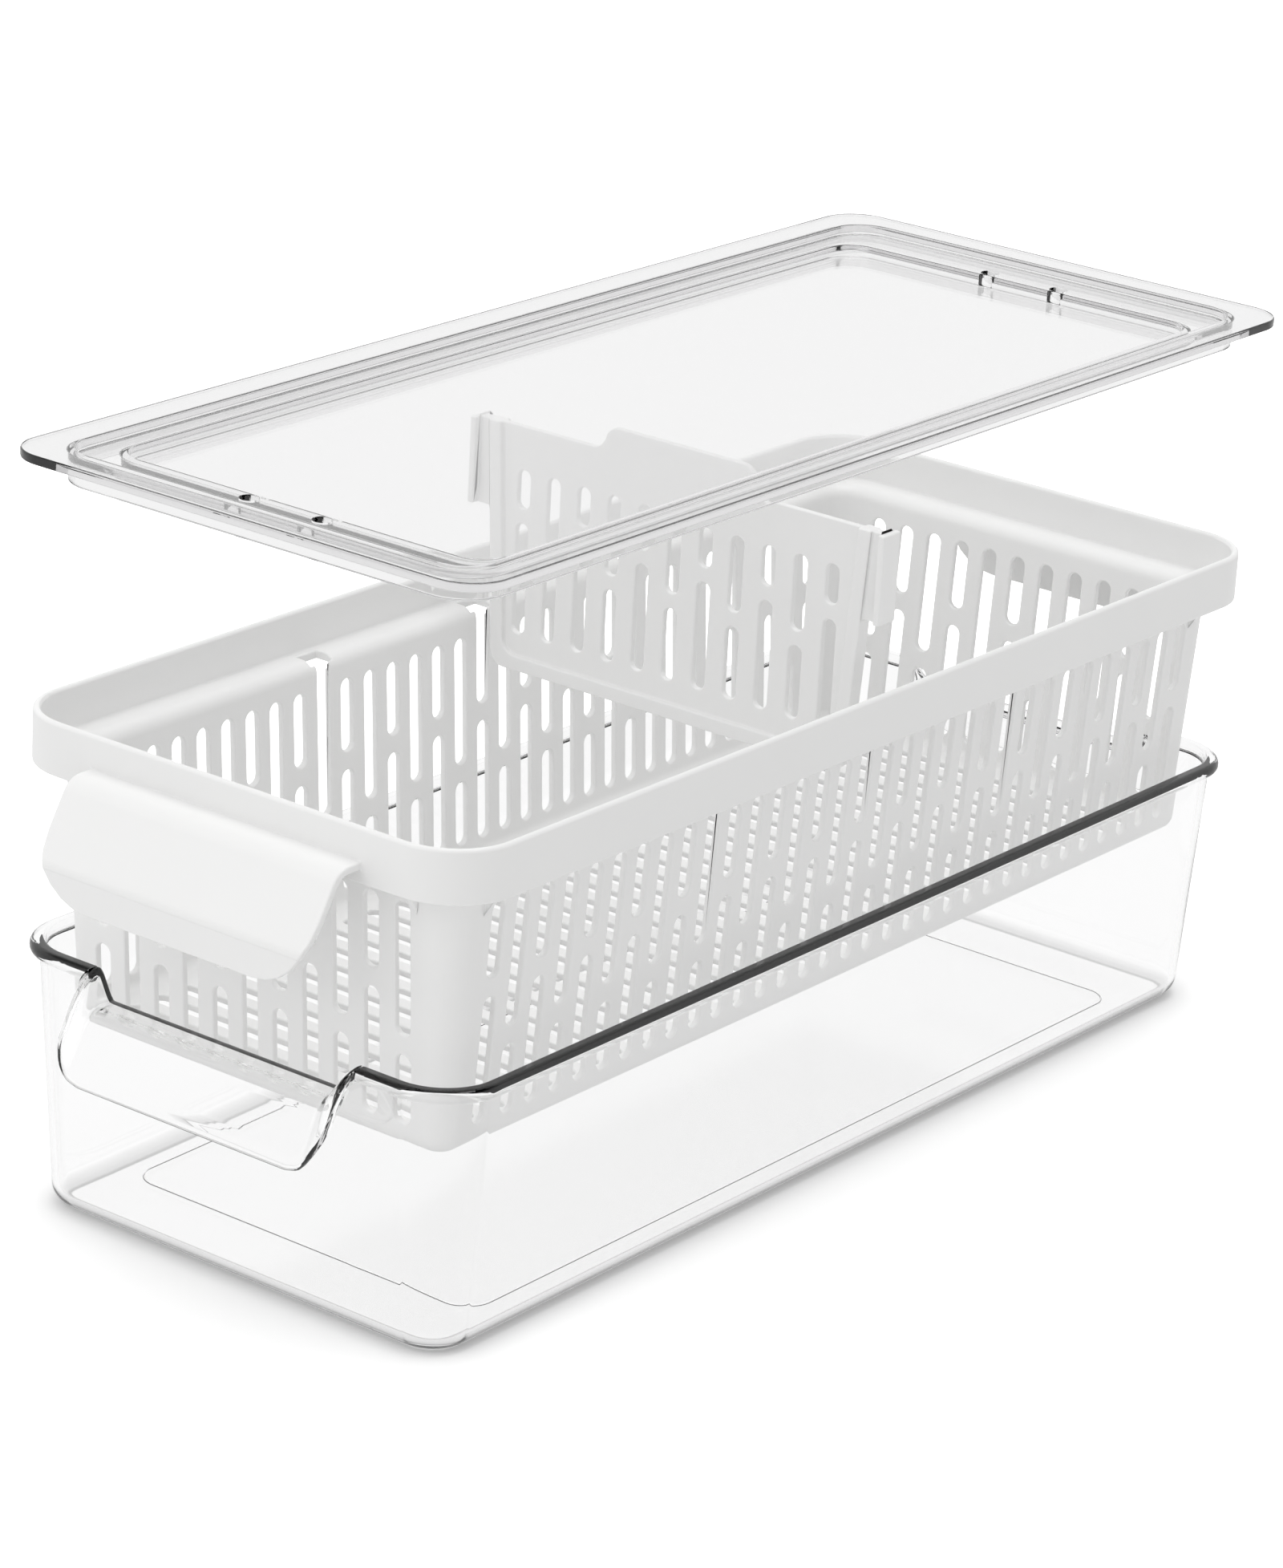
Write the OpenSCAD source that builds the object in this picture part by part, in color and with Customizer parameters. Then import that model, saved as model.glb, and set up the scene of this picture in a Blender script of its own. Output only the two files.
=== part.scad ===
// Produce keeper: a clear bin, a slotted basket that hangs in it, a slotted divider and a clear lid.
// Millimetres. +Z is up, the length runs along Y, and the origin is the centre of the bin's base.
// The bin and the basket each have a pull tongue at both ends.
// The pieces stand lifted off each other, one above the other, by the raises set below.

/* [Footprint] */
// Outer length over the bin's rim and over the basket's collar
keeper_length = 375; // [320:1:430]
// Outer width over the bin's rim and over the basket's collar
keeper_width = 160; // [150:1:200]
// Outer radius of the upright corners of the rim and the collar
corner_r = 20; // [19:0.5:28]
// Slope of the walls of the bin and the basket, in degrees off upright
wall_draft = 3.6; // [2:0.2:4.4]

/* [Bin] */
// Height from the table to the top of the rim
bin_height = 78; // [74:0.5:84]
// Thickness of the bin's walls
bin_wall = 2; // [1.4:0.1:2.4]
// Thickness of the bin's floor
bin_floor = 2.2; // [1.6:0.1:3]
// How far the rim stands out from the wall
rim_out = 2.5; // [1.5:0.1:3]
// Height of the rim
rim_height = 4; // [3:0.1:5]
// Outer radius between the bin's wall and floor
bin_foot_r = 6; // [4:0.5:7]
// Distance of the ridge on the bin's floor from the foot of the long walls
ridge_inset = 6; // [4:0.5:20]
// Distance of that ridge from the foot of the end walls
ridge_end_inset = 21; // [6:0.5:40]
// Radius of the ridge's corners
ridge_r = 8; // [4:0.5:15]
// Height and width of the ridge
ridge_height = 0.5; // [0.3:0.1:1]
// Width of the notch in each end of the rim, which opens onto a pull tongue
notch_width = 88; // [70:1:96]
// Depth of the notches
notch_depth = 8; // [6:0.5:10]
// Radius of the notches' corners
notch_r = 3.5; // [2:0.5:5]
// Reach of the bin's pull tongues from the wall
bin_tongue_reach = 17.4; // [15:0.2:17.8]
// Drop of the bin's pull tongues from the notch to the lip
bin_tongue_drop = 18; // [17.4:0.2:24]
// Thickness of the bin's pull tongues and of the cheeks beside the notch
bin_tongue_wall = 2.4; // [1.8:0.1:3]
// Radius of the lower corners of the bin's pull tongues
bin_tongue_r = 11; // [8:0.5:14]

/* [Basket] */
// Height of the collar that stands on the bin's rim
collar_height = 15.2; // [13:0.2:20]
// Thickness of the collar
collar_wall = 2.2; // [1.6:0.1:2.6]
// Thickness of the ledge inside the collar
ledge_wall = 2.7; // [2:0.1:3.4]
// Radius where the ledge turns down into the wall
ledge_r = 4; // [3:0.1:4.4]
// Thickness of the basket's walls and floor
basket_wall = 2; // [1.6:0.1:2.4]
// Space between the bin's wall and the basket's wall
wall_gap = 4.6; // [4.2:0.1:4.8]
// Space under the basket for drained water
drain_gap = 1; // [0.6:0.1:4]
// Outer radius between the basket's wall and floor
basket_foot_r = 4.5; // [3:0.5:5]
// Width of the drain slots in the walls and the floor
slot_width = 5; // [3.8:0.1:5.4]
// Spacing of the slots along the long walls and the floor
slot_pitch = 10; // [9:0.5:12]
// Spacing of the slots across the short walls
end_slot_pitch = 10.6; // [9:0.2:12]
// Top of the slots, below the collar
slot_top = 5.5; // [3:0.5:8]
// Foot of the short upper slots, below the collar
slot_short = 27; // [24:0.5:32]
// Foot of the long upper slots, below the collar
slot_long = 43.5; // [40:0.5:48]
// Bridge between an upper and a lower slot
slot_bridge = 5.6; // [4:0.1:8]
// Foot of the lower slots, above the basket's underside
slot_foot = 6.5; // [6:0.5:9]
// Distance of the outer divider guides from the middle one
guide_spacing = 70; // [40:10:110]
// Distance of the stiffening ribs from the ends of each straight wall
rib_inset = 2.5; // [1:0.5:5]
// Height of the stiffening ribs under the collar
rib_height = 8; // [4:0.5:12]
// Thickness of the stiffening ribs
rib_wall = 1.6; // [1:0.1:2.4]
// Width of the basket's pull tongues
basket_tongue_width = 94; // [70:1:105]
// Reach of the basket's pull tongues from the collar
basket_tongue_reach = 20.5; // [20:0.5:26]
// Drop of the basket's pull tongues from the top to the lip
basket_tongue_drop = 31; // [28:0.5:36]
// Height of the top of those tongues above the collar's lower edge
basket_tongue_rise = 6; // [4:0.5:9]
// Thickness of the basket's pull tongues
basket_tongue_wall = 2.2; // [1.8:0.1:2.6]
// Radius of the lower corners of the basket's pull tongues
basket_tongue_r = 18; // [8:0.5:20]

/* [Divider] */
// Thickness of the divider's plate
plate_wall = 2; // [1.6:0.1:2.6]
// Width of the bead down the sides and along the foot of the plate
bead_width = 4.5; // [3:0.5:6]
// Thickness of that bead
bead_wall = 5; // [3.6:0.2:6]
// Rounding of the plate's lower corners
plate_r = 5; // [4:0.5:8]
// Length of the neck and head at each end of the divider
neck_length = 26; // [20:0.5:26]
// Thickness of the neck, which drops into a guide slot
neck_wall = 3.4; // [2.4:0.1:3.5]
// Width of the head outside the guide slot
head_width = 8; // [6.8:0.2:8.8]
// Width of the divider's grip at its foot
grip_width = 62; // [40:1:80]
// Height of the grip above the divider's top edge
grip_height = 7; // [5:0.5:7.5]
// Width of the divider's slots
plate_slot_width = 4.4; // [3.4:0.1:4.8]
// Spacing of the divider's slots
plate_slot_pitch = 11; // [10:0.2:11.4]
// Top of the divider's slots, below its top edge
plate_slot_top = 13; // [11:0.5:15]
// Foot of its short upper slots, below the top edge
plate_slot_short = 24.5; // [22:0.5:27]
// Foot of its long upper slots, below the top edge
plate_slot_long = 35; // [32:0.5:38]
// Bridge between its upper and lower slots
plate_slot_bridge = 4.6; // [3:0.1:6]
// Foot of its lower slots, above the divider's underside
plate_slot_foot = 11; // [8:0.5:14]

/* [Lid] */
// Overhang of the lid past the collar
lid_overhang = 0.8; // [0.5:0.1:2]
// Radius of the lid's corners
lid_r = 12.5; // [10:0.5:16]
// Thickness of the lid's flange
flange_wall = 2.6; // [2:0.1:3.4]
// Width of the flange from its edge to the tray
flange_width = 10.7; // [9.6:0.1:11.4]
// Depth of the tray below the top of the flange
tray_depth = 6.2; // [5:0.1:6.6]
// Width of the step between the flange and the panel along the long sides
side_step = 6.9; // [6:0.1:8]
// Width of that step along the ends
end_step = 14; // [12:0.2:16]
// Depth of that step below the top of the flange
step_depth = 2.8; // [2.2:0.1:3]
// Thickness of the tray's wall and panel
tray_wall = 2; // [1.6:0.1:2.2]
// Drop of the locating skirt below the flange
skirt_height = 6.4; // [5.8:0.2:7]
// Thickness of the skirt
skirt_wall = 1.8; // [1.2:0.1:2.2]
// Diameter of the round vents through the step at both ends
vent_d = 5.6; // [4:0.2:5.8]
// Spacing of the two vents at an end
vent_spacing = 25; // [12:1:60]
// Distance of the vents from the edge of the panel
vent_inset = 3.4; // [3.2:0.1:5]

/* [Fits] */
// Gap left where one piece rests on another
seat_gap = 0.2; // [0.1:0.1:0.4]
// Gap between the divider's sides or foot and the basket
plate_gap = 0.9; // [0.6:0.1:1.5]
// Gap between the divider's head and the walls on both its sides
head_gap = 0.4; // [0.3:0.05:0.6]

/* [Lifted] */
// How far the basket stands above its seat on the bin
basket_raise = 51; // [0:0.5:70]
// How far the divider stands above its seat in the basket
divider_raise = 58.5; // [0:0.5:80]
// How far the lid stands above its seat on the collar
lid_raise = 69; // [60:0.5:120]

/* [Hidden] */
$fn = 64;
ARC_STEPS = 6;
CUT = 1;
CLEAR_TINT = [0.93, 0.94, 0.95, 0.35];
WHITE = [0.93, 0.93, 0.92];

// Half sizes of the rectangle through the corner centres, which all four pieces share
hx = keeper_width / 2 - corner_r;
hy = keeper_length / 2 - corner_r;
slope = tan(wall_draft);

// Outer faces of the bin's wall under the rim and of the basket's wall under the collar
bin_face = corner_r - rim_out;
basket_face = bin_face - bin_wall - wall_gap;
basket_depth = bin_height - bin_floor - drain_gap;

// Seats and places, all in height
basket_z = bin_height + seat_gap + basket_raise;
lid_z = basket_z + collar_height + seat_gap + lid_raise;
neck_drop = slot_width / 2 - sqrt(pow(slot_width / 2, 2) - pow(neck_wall / 2, 2));
neck_foot = -slot_short + neck_drop + seat_gap;
head_in = basket_face + head_gap;
head_out = basket_face + wall_gap + slope * neck_foot - head_gap;
plate_top = neck_foot + neck_length;
plate_foot = -basket_depth + basket_wall + plate_gap;
divider_z = basket_z + divider_raise;

// Places of the lid's tray, with height zero at the flange's underside
lid_hx = keeper_width / 2 + lid_overhang;
lid_hy = keeper_length / 2 + lid_overhang;
step_hx = lid_hx - flange_width;
step_hy = lid_hy - flange_width;
panel_hx = step_hx - side_step;
panel_hy = step_hy - end_step;
tray_z = flange_wall - tray_depth;
step_z = flange_wall - step_depth;

// Guides for the divider, along the long walls
guides = [-guide_spacing, 0, guide_spacing];
last_slot = floor((hy - rib_inset - rib_wall / 2 - slot_width / 2) / slot_pitch);
last_end_slot = floor((hx - rib_inset - rib_wall - slot_width / 2) / end_slot_pitch);
last_plate_slot = floor((hx + basket_face - basket_wall - plate_gap - bead_width
    - slope * basket_depth - plate_slot_width / 2) / plate_slot_pitch);

// Shape of the pull tongues: bend under the top, slope and bend above the lip
TONGUE_FLAT = 4.5;
TONGUE_BEND = 7;
TONGUE_LIP_BEND = 6;
TONGUE_SLOPE = 30;
TONGUE_ROOT = 1.6;
GRIP_TURN = 75;

// Corner radii of the lid's step and panel
STEP_R = 11;
PANEL_R = 9;

function arc(c, r, a0, a1) =
    [for (i = [0 : ARC_STEPS]) let (a = a0 + (a1 - a0) * i / ARC_STEPS) c + r * [cos(a), sin(a)]];
function bin_outer(z) = bin_face - slope * (bin_height - z);
function basket_outer(z) = basket_face + slope * z;
function is_guide(y) = len([for (g = guides) if (abs(g - y) < slot_pitch / 2) g]) > 0;

// Carries a section, given as distance from the corner centres and height, round the rounded rectangle
module around() {
    for (side = [[0, hx, hy], [90, hy, hx], [180, hx, hy], [270, hy, hx]])
        rotate(side[0]) {
            translate([side[1], 0, 0])
                rotate([90, 0, 0])
                    linear_extrude(2 * side[2], center = true)
                        children();
            translate([side[1], side[2], 0])
                rotate_extrude(angle = 90)
                    children();
        }
}

// Fills the rectangle through the corner centres between two heights
module middle(z0, z1) {
    translate([-hx, -hy, z0])
        cube([2 * hx, 2 * hy, z1 - z0]);
}

// Plate with round corners between two heights, given by its half sizes
module slab(half_x, half_y, r, z0, z1) {
    translate([0, 0, z0])
        linear_extrude(z1 - z0) {
            square([2 * half_x, 2 * (half_y - r)], center = true);
            square([2 * (half_x - r), 2 * half_y], center = true);
            for (x = [-1, 1] * (half_x - r), y = [-1, 1] * (half_y - r))
                translate([x, y])
                    circle(r);
        }
}

// Upright stadium between two heights, centred on x
module slot(x, z0, z1, width = slot_width) {
    r = width / 2;
    translate([x, z0 + r])
        circle(r);
    translate([x, z1 - r])
        circle(r);
    translate([x - r, z0 + r])
        square([width, z1 - z0 - width]);
}

// Two slots above each other, with the upper one short in every second column
module slot_column(i, x, top, short, long, bridge, foot, width = slot_width) {
    upper = i % 2 == 0 ? short : long;
    slot(x, -upper, -top, width);
    slot(x, foot, -upper - bridge, width);
}

// Section of a pull tongue, outward from the wall and down from its top, or of a cheek that rises over it
module tongue_section(reach, drop, wall, root, rise = 0) {
    run = reach - TONGUE_FLAT - TONGUE_BEND * cos(TONGUE_SLOPE) - TONGUE_LIP_BEND * (1 - cos(TONGUE_SLOPE));
    upper = [TONGUE_FLAT, -TONGUE_BEND];
    lower = [reach - TONGUE_LIP_BEND,
        -TONGUE_BEND * (1 - sin(TONGUE_SLOPE)) - run / tan(TONGUE_SLOPE)
            - TONGUE_LIP_BEND * sin(TONGUE_SLOPE)];
    polygon(concat(
        [[-root, rise]],
        arc(upper + [0, rise], TONGUE_BEND, 90, TONGUE_SLOPE),
        arc(lower + [0, rise], TONGUE_LIP_BEND, TONGUE_SLOPE, 0),
        [[reach, -drop], [reach - wall, -drop]],
        arc(lower, TONGUE_LIP_BEND - wall, 0, TONGUE_SLOPE),
        arc(upper, TONGUE_BEND - wall, TONGUE_SLOPE, 90),
        [[-root, -wall]]));
}

// Carries what reaches towards -Y to both ends
module both_ends() {
    for (end = [0, 1])
        mirror([0, end])
            children();
}

// Pull tongue with round lower corners, reaching towards -Y, with cheeks at its sides if they rise
module tongue(width, reach, drop, wall, corner, rise = 0) {
    root = TONGUE_ROOT;
    half = width / 2;
    intersection() {
        rotate([90, 0, -90]) {
            linear_extrude(width, center = true)
                tongue_section(reach, drop, wall, root);
            if (rise > 0)
                for (x = [-half, half - wall])
                    translate([0, 0, x])
                        linear_extrude(wall)
                            tongue_section(reach, drop, wall, root, rise);
        }
        rotate([90, 0, 0])
            linear_extrude(2 * (reach + root), center = true)
                polygon(concat(
                    [[-half, rise + CUT], [half, rise + CUT]],
                    arc([half - corner, corner - drop], corner, 0, -90),
                    arc([corner - half, corner - drop], corner, -90, -180)));
    }
}

module bin_section() {
    foot_u = bin_outer(bin_foot_r) - bin_foot_r;
    inner_r = bin_foot_r - bin_wall;
    bead_r = rim_height / 2;
    polygon(concat(
        [[0, 0]],
        arc([foot_u, bin_foot_r], bin_foot_r, -90, 0),
        [[bin_outer(bin_height - rim_height), bin_height - rim_height]],
        arc([corner_r - bead_r, bin_height - bead_r], bead_r, -90, 90),
        [[bin_face - bin_wall, bin_height]],
        arc([foot_u, bin_floor + inner_r], inner_r, 0, -90),
        [[0, bin_floor]]));
}

// Notch in the rim, seen along Y, with the rim rounded into it
module notch_section() {
    half = notch_width / 2;
    polygon(concat(
        [[-half - notch_r, bin_height + CUT]],
        arc([-half - notch_r, bin_height - notch_r], notch_r, 90, 0),
        arc([-half + notch_r, bin_height - notch_depth + notch_r], notch_r, 180, 270),
        arc([half - notch_r, bin_height - notch_depth + notch_r], notch_r, 270, 360),
        arc([half + notch_r, bin_height - notch_r], notch_r, 180, 90),
        [[half + notch_r, bin_height + CUT]]));
}

module bin() {
    tongue_z = bin_height - notch_depth;
    tongue_y = -hy - bin_outer(tongue_z);
    ridge_x = hx + bin_outer(0) - bin_foot_r - ridge_inset;
    ridge_y = hy + bin_outer(0) - bin_foot_r - ridge_end_inset;
    ridge_z = bin_floor + ridge_height;
    color(CLEAR_TINT) {
        difference() {
            union() {
                around()
                    bin_section();
                middle(0, bin_floor);
                both_ends()
                    translate([0, tongue_y, tongue_z])
                        tongue(notch_width + 2 * bin_tongue_wall, bin_tongue_reach, bin_tongue_drop,
                            bin_tongue_wall, bin_tongue_r, notch_depth);
            }
            both_ends()
                translate([0, -hy, 0])
                    rotate([90, 0, 0])
                        linear_extrude(bin_face + bin_tongue_reach + CUT)
                            notch_section();
        }
        difference() {
            slab(ridge_x, ridge_y, ridge_r, bin_floor, ridge_z);
            slab(ridge_x - ridge_height, ridge_y - ridge_height, ridge_r - ridge_height, bin_floor - CUT,
                ridge_z + CUT);
        }
    }
}

// Section of the collar, ledge, wall and floor, with height zero at the collar's lower edge
module basket_section() {
    foot = -basket_depth;
    foot_u = basket_outer(foot + basket_foot_r) - basket_foot_r;
    inner_r = basket_foot_r - basket_wall;
    collar_in = corner_r - collar_wall;
    top_r = collar_wall / 2;
    turn_z = ledge_wall - ledge_r;
    turn_u = basket_outer(turn_z) - basket_wall + ledge_r;
    polygon(concat(
        [[0, foot]],
        arc([foot_u, foot + basket_foot_r], basket_foot_r, -90, 0),
        [[basket_face, 0], [corner_r, 0]],
        arc([corner_r - top_r, collar_height - top_r], top_r, 0, 180),
        [[collar_in, ledge_wall]],
        arc([turn_u, turn_z], ledge_r, 90, 180),
        arc([foot_u, foot + basket_wall + inner_r], inner_r, 0, -90),
        [[0, foot + basket_wall]]));
}

// All slots of one long wall, seen along X, with the guides open through the ledge
module long_wall_slots() {
    foot = slot_foot - basket_depth;
    for (i = [-last_slot : last_slot]) {
        y = i * slot_pitch;
        slot_column(i, y, slot_top, slot_short, slot_long, slot_bridge, foot);
        if (is_guide(y))
            translate([y - slot_width / 2, -slot_top - slot_width / 2])
                square([slot_width, slot_top + slot_width / 2 + ledge_wall + CUT]);
    }
}

module end_wall_slots() {
    for (i = [-last_end_slot : last_end_slot])
        slot_column(i, i * end_slot_pitch, slot_top, slot_short, slot_long, slot_bridge,
            slot_foot - basket_depth);
}

// Drain slots across the floor, seen from above
module floor_slots() {
    half = hx + basket_outer(-basket_depth) - 2 * basket_foot_r;
    for (i = [-last_slot : last_slot])
        translate([0, i * slot_pitch])
            rotate(90)
                slot(0, -half, half);
}

// Room for the divider's heads to pass down through the ledge, seen from above
module head_passages() {
    inner = hx + basket_face - basket_wall / 2;
    outer = hx + basket_face + wall_gap;
    for (y = guides, side = [0, 1])
        mirror([side, 0])
            translate([inner, y - head_width / 2 - head_gap])
                square([outer - inner, head_width + 2 * head_gap]);
}

// Tapered rib between the wall and the underside of the ledge
module rib() {
    rotate([90, 0, 0])
        linear_extrude(rib_wall, center = true)
            polygon([
                [basket_outer(-rib_height) - basket_wall / 2, -rib_height],
                [basket_outer(-rib_height), -rib_height],
                [basket_face + wall_gap - head_gap, 0],
                [basket_face + wall_gap - head_gap, ledge_wall / 2],
                [basket_face - basket_wall / 2, ledge_wall / 2]]);
}

module ribs() {
    for (sx = [0, 1], sy = [0, 1])
        mirror([sx, 0])
            mirror([0, sy]) {
                translate([hx, hy - rib_inset, 0])
                    rib();
                translate([hx - rib_inset, hy, 0])
                    rotate(90)
                        rib();
            }
}

module basket() {
    reach = basket_face + CUT;
    color(WHITE)
        translate([0, 0, basket_z]) {
            difference() {
                union() {
                    around()
                        basket_section();
                    middle(-basket_depth, basket_wall - basket_depth);
                }
                for (side = [0, 1]) {
                    mirror([side, 0])
                        translate([hx, 0, 0])
                            rotate([90, 0, 90])
                                linear_extrude(reach)
                                    long_wall_slots();
                    mirror([0, side])
                        translate([0, hy, 0])
                            rotate([-90, 0, 0])
                                mirror([0, 1])
                                    linear_extrude(reach)
                                        end_wall_slots();
                }
                translate([0, 0, -basket_depth - CUT])
                    linear_extrude(basket_wall + 2 * CUT)
                        floor_slots();
                translate([0, 0, -CUT])
                    linear_extrude(ledge_wall + 2 * CUT)
                        head_passages();
            }
            ribs();
            both_ends()
                translate([0, -hy - corner_r, basket_tongue_rise])
                    tongue(basket_tongue_width, basket_tongue_reach, basket_tongue_drop, basket_tongue_wall,
                        basket_tongue_r);
        }
}

// Half width of the divider's plate at a height, tapered with the basket's walls
function plate_half(z) = hx + basket_outer(z) - basket_wall - plate_gap;

// Outline of the plate, with or without its grip, drawn in by an inset
module plate_outline(inset, top) {
    foot = plate_foot + inset;
    r = plate_r;
    half = plate_half(foot + r) - inset;
    polygon(concat(
        [[-plate_half(plate_top) + inset, top]],
        arc([-half + r, foot + r], r, 180, 270),
        arc([half - r, foot + r], r, 270, 360),
        [[plate_half(plate_top) - inset, top]]));
}

// Grip on the top edge, rising and falling through two equal bends at each end
module grip_outline() {
    r = grip_height / 2 / (1 - cos(GRIP_TURN));
    half = grip_width / 2;
    crest = half - 2 * r * sin(GRIP_TURN);
    top = plate_top + grip_height;
    polygon(concat(
        [[-half, plate_top - CUT]],
        arc([-half, plate_top + r], r, -90, GRIP_TURN - 90),
        arc([-crest, top - r], r, GRIP_TURN + 90, 90),
        arc([crest, top - r], r, 90, 90 - GRIP_TURN),
        arc([half, plate_top + r], r, -90 - GRIP_TURN, -90),
        [[half, plate_top - CUT]]));
}

module plate_slots() {
    for (i = [-last_plate_slot : last_plate_slot])
        translate([0, plate_top])
            slot_column(i + 1, i * plate_slot_pitch, plate_slot_top, plate_slot_short, plate_slot_long,
                plate_slot_bridge, plate_foot + plate_slot_foot - plate_top, plate_slot_width);
}

// Neck from the plate's bead to the middle of the head, which runs straight up between the two walls
module neck_outline() {
    end = hx + (head_in + head_out) / 2;
    polygon([
        [plate_half(neck_foot) - bead_width / 2, neck_foot],
        [end, neck_foot],
        [end, plate_top],
        [plate_half(plate_top) - bead_width / 2, plate_top]]);
}

// Centres a flat outline, seen along Y, in a given thickness
module upright(wall) {
    rotate([90, 0, 0])
        linear_extrude(wall, center = true)
            children();
}

module divider() {
    color(WHITE)
        translate([0, 0, divider_z]) {
            upright(plate_wall)
                difference() {
                    union() {
                        plate_outline(0, plate_top);
                        grip_outline();
                    }
                    plate_slots();
                }
            upright(bead_wall)
                difference() {
                    plate_outline(0, plate_top);
                    plate_outline(bead_width, plate_top + CUT);
                }
            for (side = [0, 1])
                mirror([side, 0]) {
                    upright(neck_wall)
                        neck_outline();
                    upright(head_width)
                        translate([hx + head_in, neck_foot])
                            square([head_out - head_in, neck_length]);
                }
        }
}

// Wall under the step, which hangs on as the skirt that locates the lid inside the collar
module skirt() {
    outer = tray_wall;
    inner = tray_wall - skirt_wall;
    under = step_z - tray_wall;
    difference() {
        slab(step_hx + outer, step_hy + outer, STEP_R + outer, -skirt_height, flange_wall / 2);
        slab(step_hx + inner, step_hy + inner, STEP_R + inner, -skirt_height - CUT, under);
    }
}

// Round vents through the step, beside the panel at both ends
module vents() {
    for (x = [-1, 1] * vent_spacing / 2, side = [-1, 1])
        translate([x, side * (panel_hy + vent_inset), tray_z - tray_wall - CUT])
            cylinder(d = vent_d, h = tray_depth + tray_wall + 2 * CUT);
}

module lid() {
    w = tray_wall;
    color(CLEAR_TINT)
        translate([0, 0, lid_z])
            difference() {
                union() {
                    slab(lid_hx, lid_hy, lid_r, 0, flange_wall);
                    skirt();
                    slab(panel_hx + w, panel_hy + w, PANEL_R + w, tray_z - w, step_z - w / 2);
                }
                slab(step_hx, step_hy, STEP_R, step_z, flange_wall + CUT);
                slab(panel_hx, panel_hy, PANEL_R, tray_z, flange_wall + CUT);
                vents();
            }
}

bin();
basket();
divider();
lid();
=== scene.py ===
"""Looks of a produce keeper: a clear bin and lid with a white slotted basket and divider, lifted apart."""

import math

import bmesh
import bpy
from mathutils import Matrix, Vector


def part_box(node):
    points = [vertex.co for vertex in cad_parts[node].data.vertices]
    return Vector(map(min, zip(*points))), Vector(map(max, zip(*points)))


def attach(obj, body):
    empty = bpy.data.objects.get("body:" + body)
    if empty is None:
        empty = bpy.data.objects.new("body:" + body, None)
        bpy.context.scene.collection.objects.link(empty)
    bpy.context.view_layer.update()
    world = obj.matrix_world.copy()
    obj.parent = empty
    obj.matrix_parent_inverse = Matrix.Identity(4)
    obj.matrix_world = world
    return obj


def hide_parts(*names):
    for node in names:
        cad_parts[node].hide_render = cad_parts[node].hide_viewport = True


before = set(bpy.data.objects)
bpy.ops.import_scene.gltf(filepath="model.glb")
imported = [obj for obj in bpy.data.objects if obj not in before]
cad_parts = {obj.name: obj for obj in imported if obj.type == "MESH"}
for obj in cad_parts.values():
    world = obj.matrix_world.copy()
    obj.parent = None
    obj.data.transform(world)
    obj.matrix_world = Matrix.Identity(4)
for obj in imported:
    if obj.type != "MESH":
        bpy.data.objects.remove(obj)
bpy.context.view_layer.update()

MM = 0.001

# Photograph's size in pixels, and the camera fitted to it, in millimetres and degrees
PHOTO_W = 1600
PHOTO_H = 1955
FOCAL_PX = 6762.0
SENSOR = 36.0
AZIMUTH = 37.1
ELEVATION = 20.35
ROLL = 3.21
DISTANCE = 1551.85
AIM_RIGHT = -6.0
AIM_HEIGHT = 94.5
VIEW_NEAR = 50.0
VIEW_FAR = 200000.0

# Footprint of the keeper, in millimetres, from the frame's boxes
bin_low, bin_high = (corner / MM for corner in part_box("bin"))
lid_low, lid_high = (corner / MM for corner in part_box("lid"))
CORNER_R = 20.0
LID_OVERHANG = 0.8
HALF_X = lid_high.x - LID_OVERHANG - CORNER_R
HALF_Y = lid_high.y - LID_OVERHANG - CORNER_R
CORNER_STEPS = 14

# Bin's walls, rim and floor
BIN_HEIGHT = bin_high.z
BIN_WALL = 2.0
BIN_FLOOR = 2.2
BIN_DRAFT = math.radians(3.6)
BIN_FOOT_R = 6.0
FOOT_STEPS = 10
FLOOR_BEND_STEPS = 8
RIM_OUT = 2.5
RIM_HEIGHT = 4.0
RIM_STEPS = 14
RIM_TOP_R = 1.1
RIM_TOP_STEPS = 6
RIM_POINTS = 72
RIDGE_INSET = 6.0
RIDGE_END_INSET = 21.0
RIDGE_R = 8.0
RIDGE_HEIGHT = 0.5
# Flat stretch of the walls, between the foot's bend and what is drawn out of the rim
WALL_MARGIN = 1.0
WALL_TOP = 16.0

# Bin's notches and pull tongues
NOTCH_DEPTH = 8.0
NOTCH_HALF = 44.0
NOTCH_R = 3.5
NOTCH_FLARE = 0.7 * NOTCH_R
TONGUE_WALL = 2.4
TONGUE_CORNER = 11.0
TONGUE_FLAT = 4.5
TONGUE_BEND = 7.0
TONGUE_BEND_STEPS = 10
TONGUE_SLOPE = math.radians(30)
TONGUE_LIP_BEND = 6.0
TONGUE_LIP_STEPS = 6
TONGUE_CAP_STEPS = 8
TONGUE_DROP = 18.0
TONGUE_HALF = NOTCH_HALF + TONGUE_WALL
TONGUE_ROOT = 1.5
TONGUE_POINTS = 16
TONGUE_LINE_POINTS = 200
# Run in which the rim turns into the tongue's side, and the run of close stops from there
TONGUE_BLEND = 1.0
TONGUE_TURN = 7.2
BLEND_STOPS = 20
TURN_STOPS = 24
CORNER_STOPS = 4
# Share of the notch's rise that is gone at the lip, where the tongue has more than this share of its length
RISE_LOST = 0.7
LONG_SHARE = 0.5

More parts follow.
